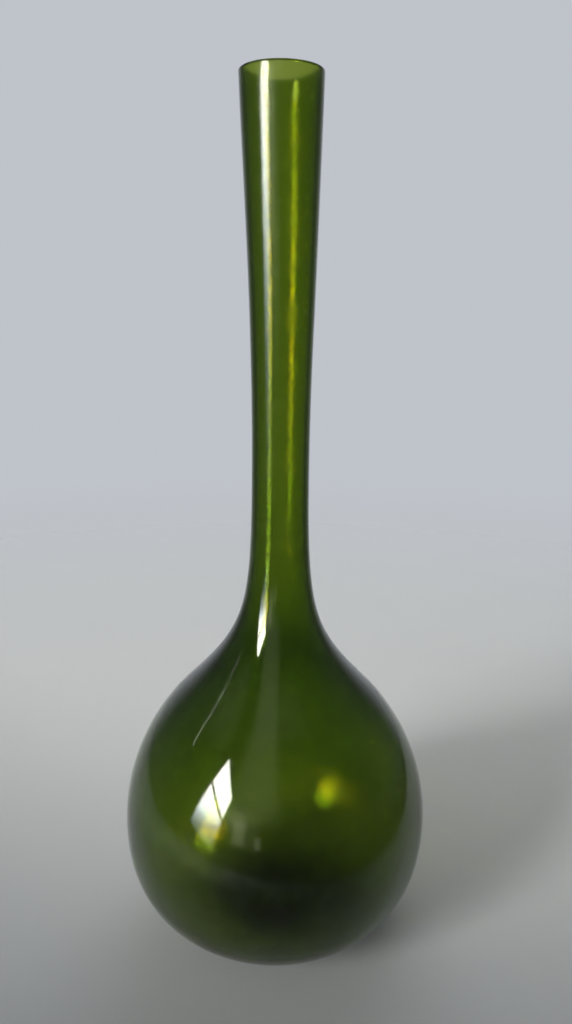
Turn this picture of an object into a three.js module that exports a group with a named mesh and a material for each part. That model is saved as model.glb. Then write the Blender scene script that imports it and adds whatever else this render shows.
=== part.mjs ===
// A long-necked bottle vase in green glass, blown from a single gather.
// Lengths are in millimetres and angles in degrees, with +Z up. The origin is the middle of the
// flat ring that the vase stands on. The wall is one closed outline turned about +Z.

import * as THREE from "three";

// Height and the four girths of the outside
const HEIGHT = 410;
const FOOT_DIAMETER = 39;
const BODY_DIAMETER = 150.5;
const NECK_DIAMETER = 26.8;
const MOUTH_DIAMETER = 36.6;

// Heights of the widest and the narrowest girth
const BODY_WIDEST_HEIGHT = 62.5;
const NECK_NARROWEST_HEIGHT = 245.5;

// The shoulder line, where the round of the body turns hollow and sweeps into the neck
const SHOULDER_DIAMETER = 92.5;
const SHOULDER_HEIGHT = 130.7;

// How steeply the outline runs where it isn't upright
const HEEL_RISE_ANGLE = 12;
const SHOULDER_LEAN_ANGLE = 44.7;
const MOUTH_FLARE_ANGLE = 2;

// How far the outline keeps its direction on each side of these girths, which sets how full it is
const HEEL_REACH = 37.5;
const BELLY_REACH_DOWN = 37;
const BELLY_REACH_UP = 33;
const SHOULDER_REACH_DOWN = 16;
const SHOULDER_REACH_UP = 44;
const NECK_REACH_DOWN = 75;
const NECK_REACH_UP = 48;
const MOUTH_REACH = 54;

// Glass thickness: thin in the blown body and drawn neck, and thicker in the floor and where
// the neck was pulled from the body
const FLOOR_THICKNESS = 4;
const HEEL_THICKNESS = 3.2;
const BODY_THICKNESS = 2.2;
const SHOULDER_THICKNESS = 3.6;
const NECK_THICKNESS = 2.3;
const LIP_THICKNESS = 2.4;

// The push-up, a shallow dish under the floor that leaves a flat ring to stand on
const PUSH_UP_DIAMETER = 28;
const PUSH_UP_DEPTH = 3;
const PUSH_UP_EDGE_REACH = 4;
const PUSH_UP_CROWN_REACH = 7;

// The inner floor runs in from the heel, and rises again over the push-up
const GUTTER_REACH = 6;
const FLOOR_CROWN_REACH = 7;

// Facets per turn of the vase, and per stretch of its outline
const FACETS_PER_TURN = 60;
const FACETS_PER_CURVE = 8;
const FACETS_PER_NECK_CURVE = 5;
const FACETS_PER_LIP = 6;
const FACETS_PER_FLOOR_CURVE = 5;

// A station is a place on the outline, given by its radius, its height and its lean: the angle
// from upright of the glass there, which is positive where the glass leans in as it climbs.
function station(diameter, height, leanAngle) {
  const lean = THREE.MathUtils.degToRad(leanAngle);
  return {
    point: new THREE.Vector2(diameter / 2, height),
    climb: new THREE.Vector2(-Math.sin(lean), Math.cos(lean)),
    inward: new THREE.Vector2(-Math.cos(lean), -Math.sin(lean)),
  };
}

// The same place on the inside of the wall, square through the glass.
function inside(outer, thickness) {
  return { ...outer, point: outer.point.clone().addScaledVector(outer.inward, thickness) };
}

// A smooth climb from one station to the next.
function climb(from, reachUp, to, reachDown) {
  return new THREE.CubicBezierCurve(
    from.point,
    from.point.clone().addScaledVector(from.climb, reachUp),
    to.point.clone().addScaledVector(to.climb, -reachDown),
    to.point,
  );
}

function stationsOutside() {
  const flare = THREE.MathUtils.degToRad(MOUTH_FLARE_ANGLE);
  const lipRadius = LIP_THICKNESS / 2;
  const lipSideHeight = HEIGHT - lipRadius * (1 + Math.sin(flare));
  return {
    heel: station(FOOT_DIAMETER, 0, HEEL_RISE_ANGLE - 90),
    belly: station(BODY_DIAMETER, BODY_WIDEST_HEIGHT, 0),
    shoulder: station(SHOULDER_DIAMETER, SHOULDER_HEIGHT, SHOULDER_LEAN_ANGLE),
    neck: station(NECK_DIAMETER, NECK_NARROWEST_HEIGHT, 0),
    mouth: station(MOUTH_DIAMETER, lipSideHeight, -MOUTH_FLARE_ANGLE),
  };
}

function stationsInside(outer) {
  return {
    heel: inside(outer.heel, HEEL_THICKNESS),
    belly: inside(outer.belly, BODY_THICKNESS),
    shoulder: inside(outer.shoulder, SHOULDER_THICKNESS),
    neck: inside(outer.neck, NECK_THICKNESS),
    mouth: inside(outer.mouth, LIP_THICKNESS),
  };
}

// One face of the wall from heel to mouth, as points from the bottom up.
function wallFace({ heel, belly, shoulder, neck, mouth }) {
  return [
    ...climb(heel, HEEL_REACH, belly, BELLY_REACH_DOWN).getPoints(FACETS_PER_CURVE),
    ...climb(belly, BELLY_REACH_UP, shoulder, SHOULDER_REACH_DOWN).getPoints(FACETS_PER_CURVE),
    ...climb(shoulder, SHOULDER_REACH_UP, neck, NECK_REACH_DOWN).getPoints(FACETS_PER_CURVE),
    ...climb(neck, NECK_REACH_UP, mouth, MOUTH_REACH).getPoints(FACETS_PER_NECK_CURVE),
  ];
}

// The dish under the floor, from its crown on the axis out to the standing ring.
function pushUp() {
  const radius = PUSH_UP_DIAMETER / 2;
  return new THREE.CubicBezierCurve(
    new THREE.Vector2(0, PUSH_UP_DEPTH),
    new THREE.Vector2(PUSH_UP_CROWN_REACH, PUSH_UP_DEPTH),
    new THREE.Vector2(radius - PUSH_UP_EDGE_REACH, 0),
    new THREE.Vector2(radius, 0),
  ).getPoints(FACETS_PER_FLOOR_CURVE);
}

// The inner floor, from the heel down into its gutter and up to its crown on the axis.
function floorTop(heel) {
  const crown = new THREE.Vector2(0, PUSH_UP_DEPTH + FLOOR_THICKNESS);
  return new THREE.CubicBezierCurve(
    heel.point,
    heel.point.clone().addScaledVector(heel.climb, -GUTTER_REACH),
    new THREE.Vector2(FLOOR_CROWN_REACH, crown.y),
    crown,
  ).getPoints(FACETS_PER_FLOOR_CURVE);
}

// The fire-polished lip, a half round over the edge of the wall.
function lip(mouth) {
  const radius = LIP_THICKNESS / 2;
  const centre = inside(mouth, radius).point;
  const flare = THREE.MathUtils.degToRad(MOUTH_FLARE_ANGLE);
  const halfRound = new THREE.EllipseCurve(
    centre.x, centre.y, radius, radius, -flare, Math.PI - flare,
  );
  return halfRound.getPoints(FACETS_PER_LIP);
}

// Curves that meet share an end, so a point that repeats the one before it is left out.
function withoutRepeats(points) {
  const closest = 1e-6;
  return points.filter((p, i) => i === 0 || p.distanceTo(points[i - 1]) > closest);
}

// The whole cut edge of the glass: out under the floor, up the outside, over the lip, down the
// inside, and back to the axis.
function glassOutline() {
  const outer = stationsOutside();
  const inner = stationsInside(outer);
  return withoutRepeats([
    ...pushUp(),
    ...wallFace(outer),
    ...lip(outer.mouth),
    ...wallFace(inner).reverse(),
    ...floorTop(inner.heel),
  ]);
}

// Clear moss-green glass, coloured all through and fire-polished inside and out.
function greenGlass() {
  return new THREE.MeshStandardMaterial({
    name: "green_glass",
    color: 0x4c6014,
    roughness: 0.04,
    metalness: 0,
    transparent: true,
    opacity: 0.7,
  });
}

// The blown wall. LatheGeometry turns about +Y, so it is tipped up to stand along +Z.
function glassVase() {
  const geometry = new THREE.LatheGeometry(glassOutline(), FACETS_PER_TURN);
  geometry.rotateX(Math.PI / 2);
  const vase = new THREE.Mesh(geometry, greenGlass());
  vase.name = "glass_vase";
  return vase;
}

const bottleVase = new THREE.Group();
bottleVase.name = "bottle_vase";
bottleVase.add(glassVase());

export default bottleVase;
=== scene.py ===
# %% [markdown]
# # A long-necked bottle vase in green glass
# The real object is one piece of hand-blown glass: a round body drawn up into a long slender
# neck with a slightly flared mouth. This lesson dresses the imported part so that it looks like
# the photograph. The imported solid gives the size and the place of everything, in metres, with
# +Z up and the table at zero.

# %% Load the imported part
import math
import bmesh
import bpy
from mathutils import Matrix, Vector, noise
from mathutils.geometry import interpolate_bezier


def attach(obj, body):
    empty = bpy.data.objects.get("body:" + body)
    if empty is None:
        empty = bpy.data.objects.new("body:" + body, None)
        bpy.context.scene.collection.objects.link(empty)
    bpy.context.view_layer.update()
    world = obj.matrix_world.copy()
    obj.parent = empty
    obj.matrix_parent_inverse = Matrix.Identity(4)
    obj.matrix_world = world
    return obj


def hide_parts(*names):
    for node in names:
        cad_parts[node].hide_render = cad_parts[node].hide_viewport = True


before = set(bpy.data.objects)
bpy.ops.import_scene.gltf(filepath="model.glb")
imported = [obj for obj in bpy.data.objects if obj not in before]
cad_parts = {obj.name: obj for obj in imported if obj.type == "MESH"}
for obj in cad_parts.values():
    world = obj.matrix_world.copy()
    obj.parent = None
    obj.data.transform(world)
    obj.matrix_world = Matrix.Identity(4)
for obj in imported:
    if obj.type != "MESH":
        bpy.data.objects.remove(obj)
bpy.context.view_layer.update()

# %% [markdown]
# ## Camera
# The photograph was taken close by, a little above the mouth's height and looking slightly
# down. The place and the tilt come from fitting the vase's outline to the photograph. It could
# be set by eye with the object in view, but a fitted camera makes every later comparison fair.
# The lens is given for the tall side of the picture, so the sensor fit is vertical.

# %% Place the camera
MM = 0.001
CAMERA_PLACE = (0, -390.3, 313.8)  # millimetres
CAMERA_YAW, CAMERA_PITCH, CAMERA_ROLL = 0.55, 13.65, 0.69  # degrees
FOCAL_LENGTH, SENSOR_HEIGHT = 29.88, 36


def turned(yaw, pitch, roll):
    """A camera's turn in degrees: yaw to the right, pitch down from level, roll to the left."""
    return (
        Matrix.Rotation(math.radians(-yaw), 4, "Z")
        @ Matrix.Rotation(math.radians(90 - pitch), 4, "X")
        @ Matrix.Rotation(math.radians(roll), 4, "Z")
    )


lens = bpy.data.cameras.new("photo_camera")
lens.sensor_fit = "VERTICAL"
lens.sensor_height = SENSOR_HEIGHT
lens.lens = FOCAL_LENGTH
lens.clip_start = 0.01
camera = bpy.data.objects.new("photo_camera", lens)
camera.matrix_world = Matrix.Translation([v * MM for v in CAMERA_PLACE]) @ turned(
    CAMERA_YAW, CAMERA_PITCH, CAMERA_ROLL
)
bpy.context.scene.collection.objects.link(camera)
bpy.context.scene.camera = camera
print("camera at", [round(v, 3) for v in camera.matrix_world.translation])

# %% [markdown]
# ## Helpers for colours and nodes
# Colours are written as the hex values that a screen shows. Blender's sockets want linear
# light, so one function turns the first into the second. A second function adds a node, sets
# it, and wires it. What it is given for an input may be a value, a socket, or a whole node, whose
# first output it then takes. SOFT is the setting that gives a ramp soft ends.

# %% Colour and node helpers
SOFT = {"interpolation_type": "SMOOTHSTEP"}


def linear(hex_colour, alpha=1.0):
    """A screen colour such as "#4c6014" as linear red, green, blue and alpha."""
    screen = [int(hex_colour[i:i + 2], 16) / 255 for i in (1, 3, 5)]
    return [c / 12.92 if c <= 0.04045 else ((c + 0.055) / 1.055) ** 2.4 for c in screen] + [alpha]


def add_node(tree, kind, settings=None, inputs=None):
    """A new node. settings are its own options; inputs go by the socket's name or number."""
    made = tree.nodes.new("ShaderNode" + kind)
    for name, value in (settings or {}).items():
        setattr(made, name, value)
    for name, value in (inputs or {}).items():
        if isinstance(value, bpy.types.Node):
            value = value.outputs[0]
        if isinstance(value, bpy.types.NodeSocket):
            tree.links.new(value, made.inputs[name])
        else:
            made.inputs[name].default_value = value
    return made


def new_material(name):
    """An empty material, and the node tree that fills it."""
    material = bpy.data.materials.new(name)
    material.use_nodes = True
    material.node_tree.nodes.clear()
    return material, material.node_tree


def show(name, mesh, material):
    """An object that stands at the origin, with its place in its mesh."""
    thing = bpy.data.objects.new(name, mesh)
    bpy.context.scene.collection.objects.link(thing)
    mesh.materials.append(material)
    return thing


print("moss green in linear light:", [round(c, 3) for c in linear("#4c6014")])

# %% [markdown]
# ## The section through the glass
# The vase is a body of revolution, so all of its shape is in one cut edge. The edge runs out
# under the floor, up the outside, over the lip, down the inside and back to the axis. Each
# stretch is a cubic curve between two stations: a girth, its height, and how far the glass leans
# in there. These are the part's own stations, drawn with more points, because facets that a
# solid model can live with would show as flat bands in clear glass.

# %% Stations up the outside, in millimetres and degrees
HEIGHT = 410
LIP_THICKNESS = 2.4
MOUTH_FLARE = 2
LIP_RADIUS = LIP_THICKNESS / 2
LIP_SIDE_HEIGHT = HEIGHT - LIP_RADIUS * (1 + math.sin(math.radians(MOUTH_FLARE)))

# name: girth, height, lean, wall thickness square through the glass
STATIONS = {
    "heel": (39, 0, 12 - 90, 3.2),
    "belly": (150.5, 62.5, 0, 2.2),
    "shoulder": (92.5, 130.7, 44.7, 3.6),
    "neck": (26.8, 245.5, 0, 2.3),
    "mouth": (36.6, LIP_SIDE_HEIGHT, -MOUTH_FLARE, LIP_THICKNESS),
}

# from, how far the curve keeps its direction there, to, and how far before there
CLIMBS = [
    ("heel", 37.5, "belly", 37),
    ("belly", 33, "shoulder", 16),
    ("shoulder", 44, "neck", 75),
    ("neck", 48, "mouth", 54),
]
print("lip side height", round(LIP_SIDE_HEIGHT, 2), "mm")

# %% The two faces of the wall
WALL_POINTS = 26


def curve(start, start_handle, end_handle, end, count):
    """Points along one cubic curve in the X-Z plane."""
    ends = [Vector((x, 0, z)) for x, z in (start, start_handle, end_handle, end)]
    return interpolate_bezier(*ends, count)


def station(name, inside):
    """The place of a station on the outer or the inner face, and the way the glass climbs."""
    girth, height, lean, thickness = STATIONS[name]
    lean = math.radians(lean)
    climb = Vector((-math.sin(lean), math.cos(lean)))
    inward = Vector((-math.cos(lean), -math.sin(lean)))
    return Vector((girth / 2, height)) + inward * (thickness if inside else 0), climb


def wall_face(inside):
    """One face of the wall, from the heel up to the mouth."""
    points = []
    for start, reach_up, end, reach_down in CLIMBS:
        (low, low_climb), (high, high_climb) = station(start, inside), station(end, inside)
        handles = low + low_climb * reach_up, high - high_climb * reach_down
        points += curve(low, *handles, high, WALL_POINTS)
    return points


print(len(wall_face(False)), "points up each face")

# %% The whole cut edge, in millimetres
FLOOR_POINTS = 14
LIP_POINTS = 12
PUSH_UP_RADIUS = 14
PUSH_UP_DEPTH = 3
PUSH_UP_EDGE_REACH = 4
PUSH_UP_CROWN_REACH = 7
GUTTER_REACH = 6
FLOOR_CROWN_HEIGHT = 7
FLOOR_CROWN_REACH = 7
CLOSEST_POINTS = 0.01


def lip():
    """The fire-polished half round over the edge of the wall."""
    place, climb = station("mouth", False)
    centre = place + Vector((-climb.y, climb.x)) * LIP_RADIUS
    start = -math.radians(MOUTH_FLARE)
    angles = [start + math.pi * i / LIP_POINTS for i in range(LIP_POINTS + 1)]
    return [
        Vector((centre.x + LIP_RADIUS * math.cos(a), 0, centre.y + LIP_RADIUS * math.sin(a)))
        for a in angles
    ]


def cut_edge():
    """Every point of the section, from the axis under the floor to the axis above it."""
    push_up = curve(
        (0, PUSH_UP_DEPTH), (PUSH_UP_CROWN_REACH, PUSH_UP_DEPTH),
        (PUSH_UP_RADIUS - PUSH_UP_EDGE_REACH, 0), (PUSH_UP_RADIUS, 0), FLOOR_POINTS,
    )
    heel, climb = station("heel", True)
    floor_top = curve(
        heel, heel - climb * GUTTER_REACH,
        (FLOOR_CROWN_REACH, FLOOR_CROWN_HEIGHT), (0, FLOOR_CROWN_HEIGHT), FLOOR_POINTS,
    )
    points = push_up + wall_face(False) + lip() + list(reversed(wall_face(True))) + floor_top
    kept = [points[0]]
    for point in points[1:]:
        if (point - kept[-1]).length > CLOSEST_POINTS:
            kept.append(point)
    return kept


section = cut_edge()
print(len(section), "points round the cut edge")

# %% [markdown]
# ## Turning the section
# A glassblower gets this shape by turning the pipe the whole time, and the bmesh spin operator
# does the same: it sweeps a line of edges about the axis. With use_merge it closes the last
# step on the first. The two ends lie on the axis, so their copies are merged into single poles,
# and the normals are recalculated because a spin may come out inside out. Before the spin each
# point is marked as outer or inner face. The mark travels with the point, and the material reads
# it, because the two faces of a blown wall don't shine alike.

# %% Spin the glass
STEPS_AROUND = 180
SAME_POINT = 0.002 * MM

bm = bmesh.new()
inner_face = bm.verts.layers.float.new("inner_face")
line = [bm.verts.new(point * MM) for point in section]
lip_top = max(range(len(section)), key=lambda i: section[i].z)
for number, v in enumerate(line):
    v[inner_face] = min(1, max(0, (number - lip_top) / LIP_POINTS * 2))
edges = [bm.edges.new(pair) for pair in zip(line, line[1:])]
bmesh.ops.spin(
    bm, geom=line + edges, cent=(0, 0, 0), axis=(0, 0, 1), angle=math.tau,
    steps=STEPS_AROUND, use_merge=True, use_duplicate=False,
)
bmesh.ops.remove_doubles(bm, verts=bm.verts, dist=SAME_POINT)
bmesh.ops.recalc_face_normals(bm, faces=bm.faces)
print(len(bm.faces), "faces,", sum(not e.is_manifold for e in bm.edges), "open edges")
print("inner points:", sum(v[inner_face] > 0.5 for v in bm.verts), "of", len(bm.verts))

# %% [markdown]
# ## Marks of hand work
# No blown vase is a perfect turning. The wall swells and thins a little where the glass was
# hotter, and it is these slow waves that bend the window's reflection. They could be faked with
# a bump map, but moving the points also bends what is seen through the glass. The two faces
# of the wall get different waves, which keeps the wall from bending as one sheet. The neck also
# leans aside by a millimetre, as a drawn neck does, and comes back at the mouth.

# %% Sizes of the waves and the bow, in metres
WAVE_HEIGHT = 0.16 * MM
WAVE_LENGTH = 34 * MM
NECK_STRETCH = 2.6
NECK_START = 0.17
OUTER_SEED, INNER_SEED = 3.1, 11.7
STILL_FOOT, STILL_AXIS = 6 * MM, 8 * MM
FADE_FROM_AXIS, FADE_TO_LIP = 20 * MM, 12 * MM

BOW = 0.95 * MM
BOW_LEAVES = (0.11, 0.19)
BOW_RETURNS = (0.30, 0.43)
BOW_RETURN_SHARE = 1.35


def wave(place, seed):
    """A slow swell at a place, long up the neck where the glass was drawn out."""
    up_body = 1 + (NECK_STRETCH - 1) * place.z / NECK_START
    stretch = NECK_STRETCH if place.z > NECK_START else up_body
    spot = Vector((place.x, place.y, place.z / stretch)) / WAVE_LENGTH
    return noise.noise(spot + Vector((seed, seed * 1.7, seed * 0.6)))


def eased(value, start, end):
    """0 below start and 1 above end, with a soft ramp between."""
    t = min(1, max(0, (value - start) / (end - start)))
    return t * t * (3 - 2 * t)


def bow(height):
    """How far the neck leans to the viewer's right on its way up, and back again at the mouth."""
    back = BOW_RETURN_SHARE * eased(height, *BOW_RETURNS)
    return BOW * eased(height, *BOW_LEAVES) * (1 - back)


print("bow at mid neck", round(bow(0.25) / MM, 2), "mm")

# %% Move the points
bm.normal_update()
for v in bm.verts:
    reach = math.hypot(v.co.x, v.co.y)
    outside = v.normal.x * v.co.x + v.normal.y * v.co.y > 0
    if v.co.z > STILL_FOOT and reach > STILL_AXIS:
        share = min(1, reach / FADE_FROM_AXIS) * min(1, (HEIGHT * MM - v.co.z) / FADE_TO_LIP)
        swell = WAVE_HEIGHT * share * wave(v.co, OUTER_SEED if outside else INNER_SEED)
        v.co += Vector((v.co.x, v.co.y, 0)).normalized() * swell
    v.co.x += bow(v.co.z)

mesh = bpy.data.meshes.new("blown_glass")
bm.to_mesh(mesh)
bm.free()
mesh.polygons.foreach_set("use_smooth", [True] * len(mesh.polygons))
heights = [point.co.z for point in mesh.vertices]
print("glass from", round(min(heights), 4), "to", round(max(heights), 4), "m")

# %% [markdown]
# ## Moss-green glass
# The real material is soda-lime glass coloured in the pot with iron and chrome, and polished by
# the flame inside and out. Its colour isn't a coat: light loses blue and red on the way
# through, so the edges and the floor look almost black and the thin wall looks olive. A tinted
# surface would give one even green. Absorption in the volume gives the real deepening with
# thickness, and the clear surface over it keeps sharp, colourless highlights. The outside is
# smoothest on the body and a little less so up the neck, which was drawn and reheated. The inside
# never met a tool and is hazier in patches, which softens all that is mirrored on the far wall.

# %% Glass finish
GLASS_IOR = 1.51
ABSORPTION_PER_METRE = 1230
RIPPLES_PER_METRE = 75  # ripples 13 mm across
HAZE_PER_METRE = 45  # patches 22 mm across
RIPPLE_HEIGHT = 0.4 * MM
RIPPLE_ON_OUTER, RIPPLE_ON_INNER = 0.06, 0.16

glass, tree = new_material("blown_moss_green_soda_lime_glass")
place = add_node(tree, "TexCoord").outputs["Object"]
inner = add_node(tree, "Attribute", {"attribute_name": "inner_face"}).outputs["Fac"]

# Long ripples, drawn out along the neck.
drawn = add_node(tree, "Mapping", {}, {"Vector": place, "Scale": (1, 1, 0.3)})
ripple = add_node(
    tree, "TexNoise", {},
    {"Vector": drawn, "Scale": RIPPLES_PER_METRE, "Detail": 0.6, "Roughness": 0.4},
)
strength = add_node(
    tree, "MapRange", {}, {"Value": inner, "To Min": RIPPLE_ON_OUTER, "To Max": RIPPLE_ON_INNER}
)
bump = add_node(
    tree, "Bump", {},
    {"Height": ripple.outputs["Fac"], "Strength": strength, "Distance": RIPPLE_HEIGHT},
)
print("ripples", round(1 / RIPPLES_PER_METRE / MM), "mm, haze", round(1 / HAZE_PER_METRE / MM), "mm")

# %% How smooth each face is, and the colour in its depth
height = add_node(tree, "SeparateXYZ", {}, {"Vector": place}).outputs["Z"]
outer_rough = add_node(
    tree, "MapRange", SOFT,
    {"Value": height, "From Min": 0.15, "From Max": 0.26, "To Min": 0.06, "To Max": 0.17},
)
haze = add_node(
    tree, "TexNoise", {},
    {"Vector": place, "Scale": HAZE_PER_METRE, "Detail": 5, "Roughness": 0.65},
)
inner_rough = add_node(
    tree, "MapRange", SOFT,
    {"Value": haze, "From Min": 0.40, "From Max": 0.68, "To Min": 0.06, "To Max": 0.24},
)
rough = add_node(
    tree, "MapRange", {}, {"Value": inner, "To Min": outer_rough, "To Max": inner_rough}
)
clear = add_node(
    tree, "BsdfPrincipled", {},
    {
        "Base Color": linear("#ffffff"),
        "Roughness": rough,
        "IOR": GLASS_IOR,
        "Transmission Weight": 1.0,
        "Normal": bump,
    },
)
depth = add_node(
    tree, "VolumeAbsorption", {}, {"Color": linear("#cdda30"), "Density": ABSORPTION_PER_METRE}
)
add_node(tree, "OutputMaterial", {}, {"Surface": clear, "Volume": depth})

vase = show("blown_glass", mesh, glass)
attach(vase, "root")
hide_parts("glass_vase")
print("material", glass.name)

# %% [markdown]
# ## Floor
# The vase stands on one plain pale sheet. A square table would put its own edges in the glass,
# so the floor is a wide disc, which thins away into the room and leaves no line behind the glass.
# Clear glass mirrors what is in front of it, so light and shade are painted into the sheet's colour
# there: painted light makes it paler towards its front edge, which gives the body its long
# kite-shaped reflection, and painted shade makes it greyer close before the foot, which keeps the
# base dark. It is also painted paler behind the vase, as if lit from there, and mid grey beyond the
# edge.

# %% Floor disc
FLOOR_RADIUS = 3.0
FLOOR_DROP = 0.2 * MM  # keeps the sheet clear of the glass that stands on it

bm = bmesh.new()
bmesh.ops.create_circle(bm, cap_ends=True, segments=96, radius=FLOOR_RADIUS)
bmesh.ops.translate(bm, verts=bm.verts, vec=(0, 0, -FLOOR_DROP))
bmesh.ops.recalc_face_normals(bm, faces=bm.faces)
floor_mesh = bpy.data.meshes.new("pale_floor")
bm.to_mesh(floor_mesh)
bm.free()
print("floor", FLOOR_RADIUS, "m from the middle to the rim")

# %% Where light and shade are painted on the sheet, in metres
paper, tree = new_material("matt_paper")
place = add_node(tree, "TexCoord").outputs["Object"]
x, y, _ = add_node(tree, "SeparateXYZ", {}, {"Vector": place}).outputs
reach = add_node(tree, "VectorMath", {"operation": "LENGTH"}, {"Vector": place}).outputs["Value"]

# The front edge is a shallow arc, 0.14 m to the left of the vase at its furthest forward.
aside = add_node(tree, "Math", {"operation": "ADD"}, {0: x, 1: 0.14})
squared = add_node(tree, "Math", {"operation": "POWER"}, {0: aside, 1: 2.0})
bend = add_node(tree, "Math", {"operation": "MULTIPLY"}, {0: squared, 1: 1.5})
past_edge = add_node(tree, "Math", {"operation": "SUBTRACT"}, {0: y, 1: bend})
on_sheet = add_node(
    tree, "MapRange", SOFT, {"Value": past_edge, "From Min": -0.295, "From Max": -0.262}
)

# Painted light: the sheet's colour falls off from pale to grey away from a place behind the vase, as
# light would.
PAINTED_LIGHT_PLACE = (0.1, 0.75, 0)
distance = add_node(
    tree, "VectorMath", {"operation": "DISTANCE"}, {0: place, 1: PAINTED_LIGHT_PLACE}
).outputs["Value"]
lit = add_node(tree, "MapRange", SOFT, {"Value": distance, "From Min": 1.02, "From Max": 0.5})

# Painted light: the band just inside the front edge is painted paler again, most of all on the left,
# which leaves painted shade close round the foot.
painted_front_light = add_node(
    tree, "MapRange", SOFT, {"Value": reach, "From Min": 0.13, "From Max": 0.30, "To Max": 0.66}
)
on_left = add_node(
    tree, "MapRange", SOFT, {"Value": x, "From Min": 0.03, "From Max": -0.10, "To Min": 0.3}
)
painted_front_light = add_node(tree, "Math", {"operation": "MULTIPLY"}, {0: painted_front_light, 1: on_left})
lit = add_node(tree, "Math", {"operation": "MAXIMUM"}, {0: lit, 1: painted_front_light})
print("palest place", PAINTED_LIGHT_PLACE)

# %% Matt paper, with painted shade before the foot
MOTTLE_PER_METRE = 9  # clouds 110 mm across
MOTTLE_SHARE = 0.12

mottle = add_node(tree, "TexNoise", {}, {"Vector": place, "Scale": MOTTLE_PER_METRE, "Detail": 3})
mottle = add_node(tree, "Math", {"operation": "MULTIPLY"}, {0: mottle, 1: MOTTLE_SHARE})
# Painted shade: the sheet is painted darker close before the foot, as if the vase shaded it there.
forward = add_node(
    tree, "MapRange", SOFT, {"Value": y, "From Min": -0.076, "From Max": -0.155, "To Max": 0.7}
)
near = add_node(tree, "MapRange", SOFT, {"Value": reach, "From Min": 0.27, "From Max": 0.13})
painted_foot_shade = add_node(tree, "Math", {"operation": "MULTIPLY"}, {0: forward, 1: near})

# factor, the two colours that it mixes; None stands for the colour so far
tone = None
# In turn: painted light, random mottle, painted shade before the foot, and the sheet's own edge.
for factor, under, over in (
    (lit, linear("#777b82"), linear("#d8dbe0")),
    (mottle, None, linear("#a9abb0")),
    (painted_foot_shade, None, linear("#5e6064")),
    (on_sheet, linear("#5a5a58"), None),
):
    tone = add_node(
        tree, "MixRGB", {}, {"Fac": factor, "Color1": under or tone, "Color2": over or tone}
    )

matt = add_node(tree, "BsdfPrincipled", {}, {"Base Color": tone, "Roughness": 0.9})
nothing = add_node(tree, "BsdfTransparent")
gone = add_node(tree, "MapRange", SOFT, {"Value": reach, "From Min": 0.2, "From Max": 1.2})
faded = add_node(tree, "MixShader", {}, {"Fac": gone, 1: matt, 2: nothing})
add_node(tree, "OutputMaterial", {}, {"Surface": faded})
floor = show("pale_floor", floor_mesh, paper)
print("floor of", paper.name)

# %% [markdown]
# ## Window
# The photograph is lit by one tall window on the left and a little in front. Its reflection is
# the bright streak down the neck and the slanted patch on the body, so its shape matters more
# than its light. An area lamp stands for it. Nodes in the lamp cut its square face to the window's
# slanted outline with a bar across, and fade it towards the sill. It stands almost three metres
# off, because the streak fades at the right height in the neck only if the window is far away.
# Light that has passed through the glass several times comes out much dimmer here than in a
# sunlit room. So a second, lower and warmer lamp, which only such rays see, gives the
# amber spot on the far wall of the body and the second streak in the neck.

# %% Window shape
WINDOW_AZIMUTH = math.radians(-50)
WINDOW_DISTANCE = 2.89
WINDOW_ASIDE, WINDOW_HEIGHT = 0.075, 0.95
WINDOW_SIZE = (1.5, 2.86)
WINDOW_OUTLINE = [(-0.66, 0.05), (0.09, 2.27), (0.75, 1.23), (0.28, -0.37)]
WINDOW_BAR = [(-0.21, 1.26), (0.50, 0.51)]
EDGE_SOFTNESS = 0.04
BAR_EDGE = (0.026, 0.066)
SILL_FADE = 1.3
SILL_LIGHT = 0.08

toward = Vector((math.sin(WINDOW_AZIMUTH), -math.cos(WINDOW_AZIMUTH), 0))
sideways = Vector((-toward.y, toward.x, 0))
middle = toward * WINDOW_DISTANCE + sideways * WINDOW_ASIDE + Vector((0, 0, WINDOW_HEIGHT))


def soft_box(name, centre, target, size, radiance):
    """A rectangular lamp aimed at a point. radiance is how bright its own face looks."""
    light = bpy.data.lights.new(name, "AREA")
    light.shape = "RECTANGLE"
    light.size, light.size_y = size
    light.energy = radiance * math.pi * size[0] * size[1]
    lamp = bpy.data.objects.new(name, light)
    aim = (Vector(target) - Vector(centre)).to_track_quat("-Z", "Y")
    lamp.matrix_world = Matrix.Translation(centre) @ aim.to_matrix().to_4x4()
    lamp.visible_camera = False
    bpy.context.scene.collection.objects.link(lamp)
    return lamp


def edge_distance(tree, place, start, end):
    """How far a point of the lamp's face lies to the right of a line from start to end."""
    along = (Vector(end) - Vector(start)).normalized()
    across = sideways * along.y - Vector((0, 0, along.x))
    dot = add_node(tree, "VectorMath", {"operation": "DOT_PRODUCT"}, {0: place, 1: across})
    offset = start[0] * along.y - start[1] * along.x
    return add_node(
        tree, "Math", {"operation": "SUBTRACT"}, {0: dot.outputs["Value"], 1: offset}
    )


print("window at", [round(v, 2) for v in middle], "m")

# %% Window lamps
WINDOW_RADIANCE = 28
SPARKLE_RADIANCE = 500
SPARKLE_SHARE = 0.78
SPARKLE_FORWARD, SPARKLE_DROP = 0.04, 0.74
FEWEST_BOUNCES = 3.5


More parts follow.
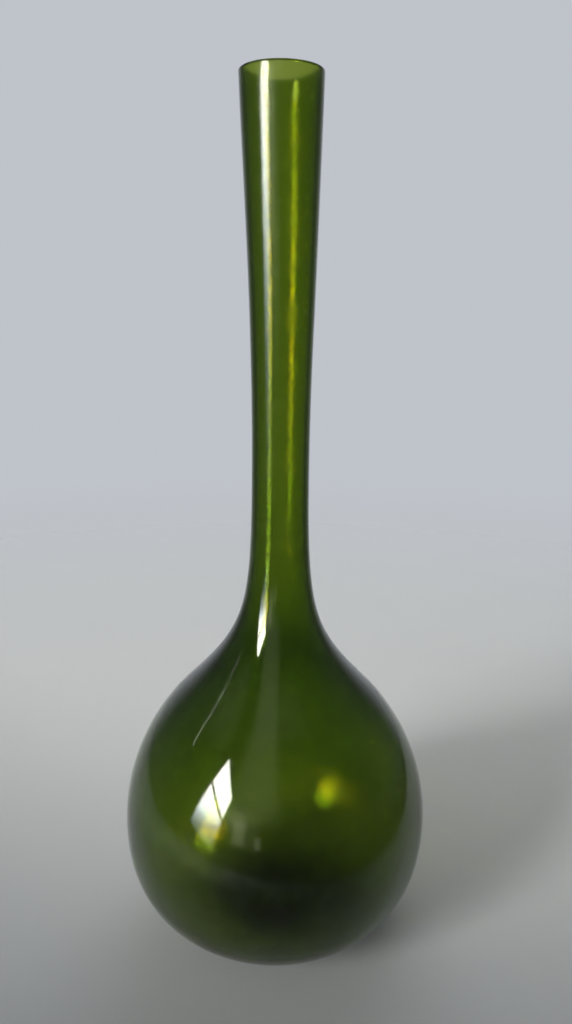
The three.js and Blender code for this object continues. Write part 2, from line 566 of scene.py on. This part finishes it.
def window_lamp(name, radiance, sky_colour, shift=Vector(), share=1.0, deep=False):
    """The window's face. deep keeps it to rays that have been through the glass and back."""
    centre = middle + shift
    size = [side * share for side in WINDOW_SIZE]
    lamp = soft_box(name, centre, centre - toward, size, radiance)
    lamp.data.use_nodes = True
    tree = lamp.data.node_tree
    tree.nodes.clear()
    place = add_node(
        tree, "Mapping", {"vector_type": "POINT"},
        {
            "Vector": add_node(tree, "NewGeometry").outputs["Position"],
            "Location": middle - centre / share,
            "Scale": (1 / share,) * 3,
        },
    )
    height = add_node(tree, "SeparateXYZ", {}, {"Vector": place}).outputs["Z"]
    climb = add_node(tree, "MapRange", SOFT, {"Value": height, "From Min": -0.06, "From Max": 0.82})
    climb = add_node(tree, "Math", {"operation": "POWER"}, {0: climb, 1: SILL_FADE})
    climb = add_node(tree, "Math", {"operation": "MULTIPLY"}, {0: climb, 1: 1 - SILL_LIGHT})
    open_part = add_node(tree, "Math", {"operation": "ADD"}, {0: climb, 1: SILL_LIGHT})
    bar = add_node(
        tree, "Math", {"operation": "ABSOLUTE"}, {0: edge_distance(tree, place, *WINDOW_BAR)}
    )
    corners = WINDOW_OUTLINE + WINDOW_OUTLINE[:1]
    cuts = [
        (edge_distance(tree, place, start, end), -EDGE_SOFTNESS, EDGE_SOFTNESS)
        for start, end in zip(corners, corners[1:])
    ] + [(bar, *BAR_EDGE)]
    for value, start, end in cuts:
        cut = add_node(tree, "MapRange", SOFT, {"Value": value, "From Min": start, "From Max": end})
        open_part = add_node(tree, "Math", {"operation": "MULTIPLY"}, {0: open_part, 1: cut})
    if deep:
        bounces = add_node(tree, "LightPath").outputs["Ray Depth"]
        late = add_node(tree, "Math", {"operation": "GREATER_THAN"}, {0: bounces, 1: FEWEST_BOUNCES})
        open_part = add_node(tree, "Math", {"operation": "MULTIPLY"}, {0: open_part, 1: late})
    up = add_node(tree, "MapRange", SOFT, {"Value": height, "From Min": -0.1, "From Max": 1.0})
    sky = add_node(
        tree, "MixRGB", {}, {"Fac": up, "Color1": linear("#cfe0ff"), "Color2": linear(sky_colour)}
    )
    shine = add_node(tree, "Emission", {}, {"Color": sky, "Strength": open_part})
    add_node(tree, "OutputLight", {}, {"Surface": shine})
    return lamp


window_lamp("window", WINDOW_RADIANCE, "#fffdf4")
lower = toward * SPARKLE_FORWARD - Vector((0, 0, SPARKLE_DROP))
sparkle = window_lamp("window_sparkle", SPARKLE_RADIANCE, "#ffb070", lower, SPARKLE_SHARE, True)
sparkle.visible_diffuse = False
sparkle.visible_glossy = False
print("second lamp at", [round(v, 2) for v in middle + lower], "m")

# %% [markdown]
# ## The rest of the light
# One smaller thing shows in the glass, a thin bright slit far to the left. A soft light from
# above and behind fills the shadows on the floor. It isn't allowed in reflections, nor in what
# is seen through the glass, because a bright ceiling would lie over the shoulder like a veil.

# %% Slit and fill
BODY_MIDDLE = (0, 0, 0.12)
SLIT_DISTANCE = 1.4
SLIT_ENDS = [(-87, 24), (-96, 40)]  # compass angle from the viewer, and climb, in degrees
SLIT_SIZE = (0.010, 0.42)
SLIT_RADIANCE = 8
FILL_PLACE = (0.2, 1.0, 1.35)
FILL_SIZE = (1.3, 1.3)
FILL_RADIANCE = 1.5


def from_vase(azimuth, elevation, distance):
    """A place seen from the vase's body, by its compass angle from the viewer and its climb."""
    a, e = math.radians(azimuth), math.radians(elevation)
    return Vector((
        distance * math.sin(a) * math.cos(e),
        -distance * math.cos(a) * math.cos(e),
        BODY_MIDDLE[2] + distance * math.sin(e),
    ))


low_end, high_end = [from_vase(*end, SLIT_DISTANCE) for end in SLIT_ENDS]
slit_middle = (low_end + high_end) / 2
slit = soft_box("slit", slit_middle, BODY_MIDDLE, SLIT_SIZE, SLIT_RADIANCE)

# Turned so that its long side runs from one end to the other while it faces the vase.
back = (slit_middle - Vector(BODY_MIDDLE)).normalized()
side = (high_end - low_end).cross(back).normalized()
facing = Matrix((side, back.cross(side), back)).transposed().to_4x4()
slit.matrix_world = Matrix.Translation(slit_middle) @ facing

fill = soft_box("overhead_fill", FILL_PLACE, (0, 0, 0), FILL_SIZE, FILL_RADIANCE)
fill.visible_glossy = False
fill.visible_transmission = False

# %% [markdown]
# ## The room
# Clear glass is mostly made of what it mirrors and of what lies behind it, so the room is part of
# the look. It is pale behind the vase, where the glass is seen through, and dim on the viewer's
# side, where its light would only veil the green. A soft patch of lit wall next to the window
# gives the grey cone under the neck, and small bright panes low down give the marks beside the
# patch. All of it is a function of direction in the world.

# %% Room
world = bpy.data.worlds.new("studio_room")
bpy.context.scene.world = world
world.use_nodes = True
tree = world.node_tree
tree.nodes.clear()
direction = add_node(tree, "TexCoord").outputs["Generated"]
x, y, z = add_node(tree, "SeparateXYZ", {}, {"Vector": direction}).outputs

# how far back a direction points where the change begins and ends, and the colours that it joins
room = linear("#545450")
for start, end, over in ((-0.4, 0.3, "#696967"), (0.60, 0.93, "#bfc3ca")):
    backward = add_node(tree, "MapRange", SOFT, {"Value": y, "From Min": start, "From Max": end})
    room = add_node(tree, "MixRGB", {}, {"Fac": backward, "Color1": room, "Color2": linear(over)})
print("room of", len(tree.nodes), "nodes so far")

# %% Lit walls and panes
# azimuth from, to, elevation from, to, softness in degrees, brightness
WALLS = [
    (-34, 2, 12, 66, 16, 0.42),
    (-34, -12, -4, 16, 8, 0.30),
    (-31, -22, -3, 10, 4, 0.9),
    (-38, -22, 6, 15, 9, 0.9),
    (-14, -10, -4, 3, 3, 0.9),
    (-170, -60, 38, 88, 14, 0.20),
    (-40, 50, 55, 89, 14, 0.16),
]
WALL_BLUE = 0.72  # the walls are cream, with less blue than red and green
DEGREES = 180 / math.pi

forward = add_node(tree, "Math", {"operation": "MULTIPLY"}, {0: y, 1: -1.0})
azimuth = add_node(tree, "Math", {"operation": "ARCTAN2"}, {0: x, 1: forward})
azimuth = add_node(tree, "Math", {"operation": "MULTIPLY"}, {0: azimuth, 1: DEGREES})
elevation = add_node(tree, "Math", {"operation": "ARCSINE"}, {0: z})
elevation = add_node(tree, "Math", {"operation": "MULTIPLY"}, {0: elevation, 1: DEGREES})
for left, right, low, high, soft, bright in WALLS:
    glow = bright
    for value, start, end in (
        (azimuth, left - soft / 2, left + soft / 2),
        (azimuth, right + soft / 2, right - soft / 2),
        (elevation, low - soft / 2, low + soft / 2),
        (elevation, high + soft / 2, high - soft / 2),
    ):
        side = add_node(tree, "MapRange", SOFT, {"Value": value, "From Min": start, "From Max": end})
        glow = add_node(tree, "Math", {"operation": "MULTIPLY"}, {0: glow, 1: side})
    blue = add_node(tree, "Math", {"operation": "MULTIPLY"}, {0: glow, 1: WALL_BLUE})
    cream = add_node(tree, "CombineXYZ", {}, {"X": glow, "Y": glow, "Z": blue})
    room = add_node(
        tree, "MixRGB", {"blend_type": "ADD"}, {"Fac": 1.0, "Color1": room, "Color2": cream}
    )
shade = add_node(tree, "Background", {}, {"Color": room, "Strength": 1.0})
add_node(tree, "OutputWorld", {}, {"Surface": shade})
bpy.context.scene.view_settings.view_transform = "Standard"
print(len(WALLS), "lit patches,", len(tree.nodes), "nodes")
